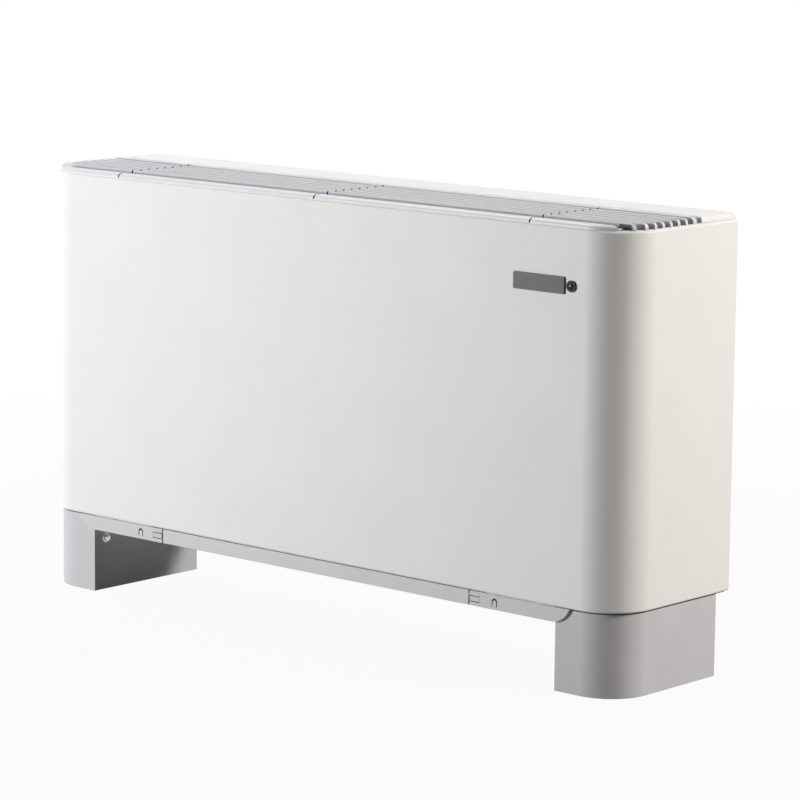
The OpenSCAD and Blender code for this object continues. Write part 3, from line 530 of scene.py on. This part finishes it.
# %% Join the casing
casing_parts = ("casing", "casing_end_left", "casing_end_right")
copies = [copy_of(name) for name in casing_parts]
joint_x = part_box("casing")[1].x
bpy.ops.object.select_all(action="DESELECT")
for copy in copies:
    copy.select_set(True)
bpy.context.view_layer.objects.active = copies[0]
bpy.ops.object.join()
skin = bpy.context.active_object
skin.name = "casing_skin"


def touches_neighbour(face):
    corners = [skin.data.vertices[v].co.x for v in face.vertices]
    return abs(face.normal.x) > 0.999 and all(abs(abs(x) - joint_x) < merge_distance for x in corners)


faces_before = len(skin.data.polygons)
pick_faces(skin, touches_neighbour)
bpy.ops.mesh.delete(type="FACE")
bpy.ops.object.mode_set(mode="OBJECT")
print("touching faces taken out:", faces_before - len(skin.data.polygons))

# %% [markdown]
# The folds are already round in the drawing, so the cut edges of the sheet get only a fine break.

# %% Casing skin
merge(skin)
round_edges(skin, 0.0003)
smooth(skin)
paint(skin, "casing_paint")
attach(skin, "cabinet")
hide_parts(*casing_parts)
print(skin.name, "faces:", len(skin.data.polygons))

# %% [markdown]
# ## Head and grilles
# The slatted pieces and the frame below them are mouldings, with a round of about half a millimetre at
# their edges, which is what a mould maker would cut. The rounded nose along the front lies a little lower
# than the slats behind it. We select its corners by their place and press them down towards the lip with a
# resize in height, which keeps the nose round. A cut across, where the right-hand corner begins to turn,
# gives the slats an edge at which a painted shade can start later.

# %% Head and grilles
nose_back, lip_level, nose_share = -0.0948, 0.566, 0.70
corner_start = 0.468


def lower_nose(piece):
    only(piece)
    bpy.ops.object.mode_set(mode="EDIT")
    bpy.ops.mesh.select_mode(type="VERT")
    bpy.ops.mesh.select_all(action="DESELECT")
    bpy.ops.object.mode_set(mode="OBJECT")
    for corner in piece.data.vertices:
        corner.select = corner.co.y < nose_back and corner.co.z > lip_level
    bpy.ops.object.mode_set(mode="EDIT")
    bpy.ops.transform.resize(value=(1, 1, nose_share), center_override=(0, 0, lip_level))
    bpy.ops.mesh.select_all(action="SELECT")
    bpy.ops.mesh.bisect(plane_co=(corner_start, 0, 0), plane_no=(1, 0, 0))
    bpy.ops.object.mode_set(mode="OBJECT")


slatted = ("outlet_grille_left", "outlet_grille_right", "end_lid_left", "end_lid_right")
refine("head_frame", 0.0006)
for name in slatted:
    piece = refine(name, 0.0005, reshape=lower_nose)
    print(piece.name, "faces:", len(piece.data.polygons))

# %% [markdown]
# The slots show dark, because the skirt, the cross bars and the upper side of the lip under the slats lie in
# shade. That shade is painted: a second finish of dark grey goes on these faces in front of the rail. The
# rear rail and the thin rim of the lip, which shows as a light line over the casing, stay white. Faces carry
# the number of their finish, so a test on the middle and the direction of each face is enough.

# %% Painted shade under the slats
# Painted shadow: a dark grey that stands in for shade, here and in the gaps, rims and slits below.
shadow_grey = moulded("moulded_shadow_grey", (0.055, 0.055, 0.06), 0.6)


def second_finish(node, finish, test):
    piece = bpy.data.objects[node + "_finished"]
    piece.data.materials.append(finish)
    number = len(piece.data.materials) - 1
    chosen = [face for face in piece.data.polygons if test(face)]
    for face in chosen:
        face.material_index = number
    print(piece.name, "faces with", finish.name + ":", len(chosen))


rail_front, lip_low, lip_top = 0.0385, 0.5645, 0.567
second_finish("head_frame", shadow_grey,
              lambda f: f.center.y < rail_front and (f.center.z < lip_low
                                                     or f.normal.z > 0.95 and f.center.z < lip_top))

# %% [markdown]
# The slot right behind the nose is wider than the others, and the shade in it shows as a thin grey line all
# along the front. So the front wall of the first slat takes a painted shade, a grey of its own. Round the
# right-hand corner that slot is open to the dark below, and the same wall takes a much darker painted shade.

# %% Painted shade line behind the nose
# A painted shade for the front wall of the first slat.
slot_shade_paint = moulded("painted_slot_shade", (0.62, 0.62, 0.64), 0.5)
first_slat_front, first_slat_crest = -0.0835, -0.0803
for name in slatted:
    second_finish(name, slot_shade_paint,
                  lambda f: first_slat_front < f.center.y < first_slat_crest and f.normal.y < -0.6)
# A darker painted shade for that wall round the right-hand corner.
corner_shade_paint = moulded("painted_corner_shade", (0.13, 0.13, 0.135), 0.55)
second_finish("end_lid_right", corner_shade_paint,
              lambda f: f.center.x > corner_start and first_slat_front < f.center.y < first_slat_crest
              and f.normal.y < -0.9)

# %% [markdown]
# Where two slatted pieces meet, a gap of two millimetres is left. Little light gets into it, so it shows as a
# dark tick in the nose and as a row of dark dots across the slats. That shade is painted: the ends that face
# each other across a gap take the painted shadow grey.

# %% Painted shade in the gaps between the slatted pieces
bay_end, end_reach = 0.36, 0.0003
for name in slatted:
    gap_ends = [limit.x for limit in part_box(name) if abs(limit.x) < bay_end]
    second_finish(name, shadow_grey,
                  lambda f: abs(f.normal.x) > 0.9 and min(abs(f.center.x - x) for x in gap_ends) < end_reach)

# %% [markdown]
# ## Feet, strip and trims
# The feet and the grey strip along the bottom are moulded too. Their rounds are up to a millimetre, so the
# edges of the feet and of the round-ended trims catch a thin light line. The badge, the ring of the receiver
# and the two panels over the feet get finer rounds.

# %% Lower mouldings
lower_rounds = {
    "foot_left": 0.0009, "foot_right": 0.0009, "trim_left": 0.0005, "trim_right": 0.0005,
    "release_tongue_left": 0.0003, "release_tongue_right": 0.0003, "filter_frame": 0.0005,
    "badge_plate": 0.0004, "receiver_bezel": 0.0003, "base_panel_left": 0.0003, "base_panel_right": 0.0003,
}
for name, edge in lower_rounds.items():
    piece = refine(name, edge)
    print(piece.name, "faces:", len(piece.data.polygons))

# %% [markdown]
# A narrow gap between the casing and the feet lies in shadow. That shadow is painted: the upper rim of each
# foot and the edge of the base panel above it take the painted shadow grey, so no light line shows in the
# gap.

# %% Painted shadow on the rims of the feet
rim_depth = 0.0012
rim_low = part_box("foot_right")[1].z - rim_depth
for side in ("left", "right"):
    second_finish("foot_" + side, shadow_grey, lambda f: f.center.z > rim_low)
    second_finish("base_panel_" + side, shadow_grey,
                  lambda f: f.center.z > rim_low and abs(f.normal.z) < 0.8)

# %% [markdown]
# Each trim has a release tongue, cut free by two thin slits, and beside it the slit of a spring clip. Slits
# this narrow hardly let light in, so their walls and floors take a painted shade, the dark grey. They are
# found by their place: faces of the trim that lie close round the tongue or in the clip's slit, and the
# edges of the tongue itself.

# %% Painted shade in the slits of the trims
slit_reach, face_depth = 0.0016, 0.0004
trim_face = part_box("trim_right")[0].y + face_depth
clip_inner, clip_outer = 0.0325, 0.0465


def in_slit(face):
    x, y, z = face.center
    in_clip = clip_inner < abs(x) - trim_start < clip_outer and z > tongue_low.z
    by_tongue = (tongue_low.x - slit_reach < x < tongue_high.x + slit_reach
                 and tongue_low.z - slit_reach < z < tongue_high.z + slit_reach)
    return y > trim_face and (in_clip or by_tongue)


for side in ("left", "right"):
    tongue_low, tongue_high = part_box("release_tongue_" + side)
    trim_start = min(abs(v.x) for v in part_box("trim_" + side))
    second_finish("release_tongue_" + side, shadow_grey, lambda f: abs(f.normal.y) < 0.5)
    second_finish("trim_" + side, shadow_grey, in_slit)

# %% [markdown]
# The badge is taken as a black plate with a grey face let into it, so its four edges are black. The black
# edges also stand in for the shade and shadow along the right-hand edge of the badge. The ring of the
# receiver is duller on its face than on its rim.

# %% Badge edges and receiver face
second_finish("badge_plate", finishes["receiver_black"], lambda f: abs(f.normal.y) < 0.6)
dull_black = moulded("dull_black", (0.022, 0.022, 0.023), 0.45, 1500, 0.06, 0.08, gloss=0.16)
second_finish("receiver_bezel", dull_black, lambda f: f.normal.y < -0.6)

# %% [markdown]
# ## Inside and behind
# The rear panel, the sheet plates, the blower, the motor, the coil and the electrical box are seen from
# behind, from below and through the open lids. Folded sheet gets a fine break at its edges, and turned or
# moulded parts a slightly larger one. Parts with hundreds of thin blades or fins, and the round copper
# tubes, keep the edges that they were drawn with.

# %% Inner parts
inner_rounds = {
    "back_panel": 0.0003, "rear_plate_left": 0.0003, "rear_plate_right": 0.0003, "side_plate_left": 0.0003,
    "side_plate_right": 0.0003, "fan_deck": 0.0003, "drip_tray": 0.0005, "control_box": 0.0006,
    "control_cover": 0.0008, "terminal_block": 0.0005, "cable_gland": 0.0006, "receiver_housing": 0.0006,
    "scroll_upper_left": 0.0004, "scroll_lower_left": 0.0004, "scroll_upper_right": 0.0004,
    "scroll_lower_right": 0.0004, "motor_stator": 0.001, "motor_shield_left": 0.0006,
    "motor_shield_right": 0.0006, "motor_bearings": 0.0005, "motor_mount_rings": 0.001,
    "motor_bracket": 0.0003, "motor_shaft": 0.0005, "coil_end_plate_left": 0.0003,
    "coil_end_plate_right": 0.0003, "water_port_in": 0.001, "water_port_out": 0.001, "air_vent": 0.0005,
    "impeller_left": 0.0, "impeller_right": 0.0, "coil_fins": 0.0, "coil_bends": 0.0,
    "coil_header_in": 0.0, "coil_header_out": 0.0, "coil_tap_in": 0.0, "coil_tap_out": 0.0,
}
inner_faces = 0
for name, edge in inner_rounds.items():
    inner_faces += len(refine(name, edge).data.polygons)
print("inner parts:", len(inner_rounds), "faces:", inner_faces)

# %% [markdown]
# ## Screws with a cross recess
# The casing is held from behind by six pan-head screws, the feet by three each from below, and the cover of
# the electrical box by four. We model one by hand: a short cylinder whose crown is rounded, whose
# underside is inset and pulled out into a shank, and whose cross recess is cut by two thin bars. The sizes
# of the crown and the recess are shares of the head's radius and height.

# %% One screw
crown_share = 0.55
recess_length, recess_width, recess_height = 1.25, 0.3, 1.1


def cross_screw(name, radius, height, shank_radius, shank_length):
    bpy.ops.object.select_all(action="DESELECT")
    bpy.ops.mesh.primitive_cylinder_add(vertices=32, radius=radius, depth=height, location=(0, 0, height / 2))
    screw = bpy.context.active_object
    screw.name = name
    settle(screw)
    pick_faces(screw, lambda f: f.normal.z > 0.9)
    bpy.ops.mesh.bevel(offset=crown_share * height, segments=4, affect="EDGES")
    bpy.ops.object.mode_set(mode="OBJECT")
    pick_faces(screw, lambda f: f.normal.z < -0.9)
    bpy.ops.mesh.inset(thickness=radius - shank_radius)
    bpy.ops.mesh.extrude_region_move(TRANSFORM_OT_translate={"value": (0, 0, -shank_length)})
    bpy.ops.object.mode_set(mode="OBJECT")
    for turn in (0, math.pi / 2):
        bpy.ops.object.select_all(action="DESELECT")
        bpy.ops.mesh.primitive_cube_add(size=1, location=(0, 0, height))
        bar = bpy.context.active_object
        bar.scale = (recess_length * radius, recess_width * radius, recess_height * height)
        bar.rotation_euler = (0, 0, turn)
        settle(bar)
        only(screw)
        cut = screw.modifiers.new("recess", "BOOLEAN")
        cut.operation = "DIFFERENCE"
        cut.solver = "EXACT"
        cut.object = bar
        bpy.ops.object.modifier_apply(modifier=cut.name)
        bpy.data.objects.remove(bar)
    smooth(screw)
    print(screw.name, "faces:", len(screw.data.polygons))
    return screw


print("recess across the head:", recess_length, "times the radius")

# %% [markdown]
# Three sizes are needed, with the heads and shanks that the drawing gives them.

# %% Three screws
rear_radius, rear_height = 0.004, 0.002
foot_radius, foot_height = 0.004, 0.003
cover_radius, cover_height = 0.0036, 0.002
rear_screw = cross_screw("rear_screw", rear_radius, rear_height, 0.0019, 0.0095)
foot_screw = cross_screw("foot_screw", foot_radius, foot_height, 0.002, 0.0085)
cover_screw = cross_screw("cover_screw", cover_radius, cover_height, 0.0019, 0.0095)

# %% [markdown]
# Each screw in place is a copy with its own mesh and its own turn, as if driven by hand. The copies of a set
# are joined, because a set of screws is one part in the drawing. The model screw is then thrown away.

# %% Copies of a screw
def set_of_screws(name, model, places, facing, node):
    copies = []
    for place, spin in places:
        only(model)
        bpy.ops.object.duplicate()
        copy = bpy.context.active_object
        copy.rotation_mode = "QUATERNION"
        turn = Vector(facing).to_track_quat("Z", "Y").to_matrix() @ Matrix.Rotation(spin, 3, "Z")
        copy.rotation_quaternion = turn.to_quaternion()
        copy.location = place
        settle(copy)
        copies.append(copy)
    bpy.ops.object.select_all(action="DESELECT")
    for copy in copies:
        copy.select_set(True)
    bpy.context.view_layer.objects.active = copies[0]
    bpy.ops.object.join()
    joined = bpy.context.active_object
    joined.name = name
    paint(joined, slot_of[node])
    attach(joined, body_of[node])
    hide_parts(node)
    bpy.data.objects.remove(model)
    print(joined.name, "screws:", len(places))


print("screw models ready:", rear_screw.name, foot_screw.name, cover_screw.name)

# %% [markdown]
# The places of the heads are read from the drawing: the lowest and highest corners of each set, less the
# size of a head, and the known rows give each place.

# %% Screws in place
low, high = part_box("casing_screws")
rear_z = (low.z + rear_radius, (low.z + high.z) / 2, high.z - rear_radius)
rear_places = [((s * (high.x - rear_radius), high.y - rear_height, z), 0.4 + 0.7 * i + s)
               for i, z in enumerate(rear_z) for s in (-1, 1)]
set_of_screws("casing_screw_set", rear_screw, rear_places, (0, 1, 0), "casing_screws")

low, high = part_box("foot_screws")
side_x, front_screw_y, back_screw_y = high.x - foot_radius, low.y + foot_radius, high.y - foot_radius
inner_inset = 0.012
inner_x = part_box("foot_right")[0].x + inner_inset
foot_places = [((s * x, y, low.z + foot_height), 0.5 * i + s) for s in (-1, 1)
               for i, (x, y) in enumerate([(side_x, front_screw_y), (side_x, back_screw_y), (inner_x, 0)])]
set_of_screws("foot_screw_set", foot_screw, foot_places, (0, 0, -1), "foot_screws")

low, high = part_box("control_screws")
cover_places = [((high.x - cover_height, y, z), 0.3 + 9 * y + 5 * z)
                for y in (low.y + cover_radius, high.y - cover_radius)
                for z in (low.z + cover_radius, high.z - cover_radius)]
set_of_screws("cover_screw_set", cover_screw, cover_places, (1, 0, 0), "control_screws")

# %% [markdown]
# ## Thumb screws in the feet
# On the inner wall of each foot, near the front and under the strip, sits a small bright screw that holds
# the foot's front. It is a domed head on a collar: a cylinder whose outer face is inset, pushed out and
# rounded with a bevel.

# %% Thumb screws
collar_radius, collar_depth, collar_middle, collar_step = 0.0062, 0.0016, 0.0006, 0.0014
dome_height, dome_round = 0.0052, 0.003
knob_from_front, knob_level = 0.020, 0.071


def thumb_screw(name, side):
    bpy.ops.object.select_all(action="DESELECT")
    bpy.ops.mesh.primitive_cylinder_add(vertices=40, radius=collar_radius, depth=collar_depth,
                                        location=(0, 0, collar_middle))
    knob = bpy.context.active_object
    knob.name = name
    settle(knob)
    pick_faces(knob, lambda f: f.normal.z > 0.9)
    bpy.ops.mesh.inset(thickness=collar_step)
    bpy.ops.mesh.extrude_region_move(TRANSFORM_OT_translate={"value": (0, 0, dome_height)})
    bpy.ops.mesh.bevel(offset=dome_round, segments=6, affect="EDGES")
    bpy.ops.object.mode_set(mode="OBJECT")
    round_edges(knob, 0.0003)
    smooth(knob)
    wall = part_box("foot_" + name.split("_")[-1])
    knob.rotation_mode = "QUATERNION"
    knob.rotation_quaternion = Vector((-side, 0, 0)).to_track_quat("Z", "Y")
    knob.location = (wall[0].x if side > 0 else wall[1].x, wall[0].y + knob_from_front, knob_level)
    print(knob.name, "at, in mm:", [round(1000 * v) for v in knob.location])
    settle(knob)
    paint(knob, "screw_steel")
    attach(knob, "cabinet")


for name, side in (("thumb_screw_left", -1), ("thumb_screw_right", 1)):
    thumb_screw(name, side)

# %% [markdown]
# ## Receiver window
# The receiver for the remote control looks out through a small domed window that stands out of its black
# ring. A dome is the cap of a sphere: the sphere is cut with bisect, flattened, and its rim is pulled back
# as a barrel.

# %% Receiver window
low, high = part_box("receiver_lens")
window_middle = (low + high) / 2
window_radius = (high.x - low.x) / 2
dome_share, rim_set_back, dome_degrees = 0.5, 0.0006, 40
bpy.ops.object.select_all(action="DESELECT")
bpy.ops.mesh.primitive_uv_sphere_add(segments=40, ring_count=24, radius=window_radius)
eye = bpy.context.active_object
eye.name = "receiver_window"
bpy.ops.object.mode_set(mode="EDIT")
bpy.ops.mesh.select_all(action="SELECT")
bpy.ops.mesh.bisect(plane_co=(0, 0, 0), plane_no=(0, 0, 1), clear_inner=True, use_fill=False)
bpy.ops.mesh.select_all(action="SELECT")
bpy.ops.transform.resize(value=(1, 1, dome_share), center_override=(0, 0, 0))
bpy.ops.mesh.select_mode(type="EDGE")
bpy.ops.mesh.select_all(action="DESELECT")
bpy.ops.mesh.select_non_manifold()
bpy.ops.mesh.extrude_region_move(TRANSFORM_OT_translate={"value": (0, 0, low.y - high.y + rim_set_back)})
bpy.ops.mesh.edge_face_add()
bpy.ops.object.mode_set(mode="OBJECT")
eye.rotation_euler = (math.pi / 2, 0, 0)
eye.location = (window_middle.x, low.y + rim_set_back, window_middle.z)
settle(eye)
smooth(eye, dome_degrees)
paint(eye, "receiver_lens")
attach(eye, body_of["receiver_lens"])
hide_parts("receiver_lens")
print("window radius in mm:", round(1000 * window_radius, 2))

# %% [markdown]
# ## Filter net
# The filter holds a fine knitted net. A grid of square cells turned into thin threads by the Wireframe
# modifier has real holes, so the blower can be guessed through it from below.

# %% Filter net
low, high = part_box("filter_mesh")
net_size = high - low
net_cell, net_margin, thread_thickness = 0.0055, 0.001, 0.0011
columns, rows = round(net_size.x / net_cell), round(net_size.y / net_cell)
bpy.ops.object.select_all(action="DESELECT")
bpy.ops.mesh.primitive_grid_add(x_subdivisions=columns, y_subdivisions=rows, size=1)
net = bpy.context.active_object
net.name = "filter_net_threads"
net.scale = (net_size.x - net_margin, net_size.y - net_margin, 1)
net.location = (low + high) / 2
settle(net)
threads = net.modifiers.new("threads", "WIREFRAME")
threads.thickness = thread_thickness
threads.use_even_offset = False
threads.use_boundary = True
bpy.ops.object.modifier_apply(modifier=threads.name)
smooth(net)
paint(net, "filter_net")
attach(net, body_of["filter_mesh"])
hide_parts("filter_mesh")
print("net cells:", columns, "x", rows, "faces:", len(net.data.polygons))

# %% [markdown]
# By now every drawn part has a finished copy. The number of drawn parts that are still shown is printed.

# %% Drawn parts still shown
print("drawn parts still shown:", sum(1 for part in nodes.values() if not part.hide_render))
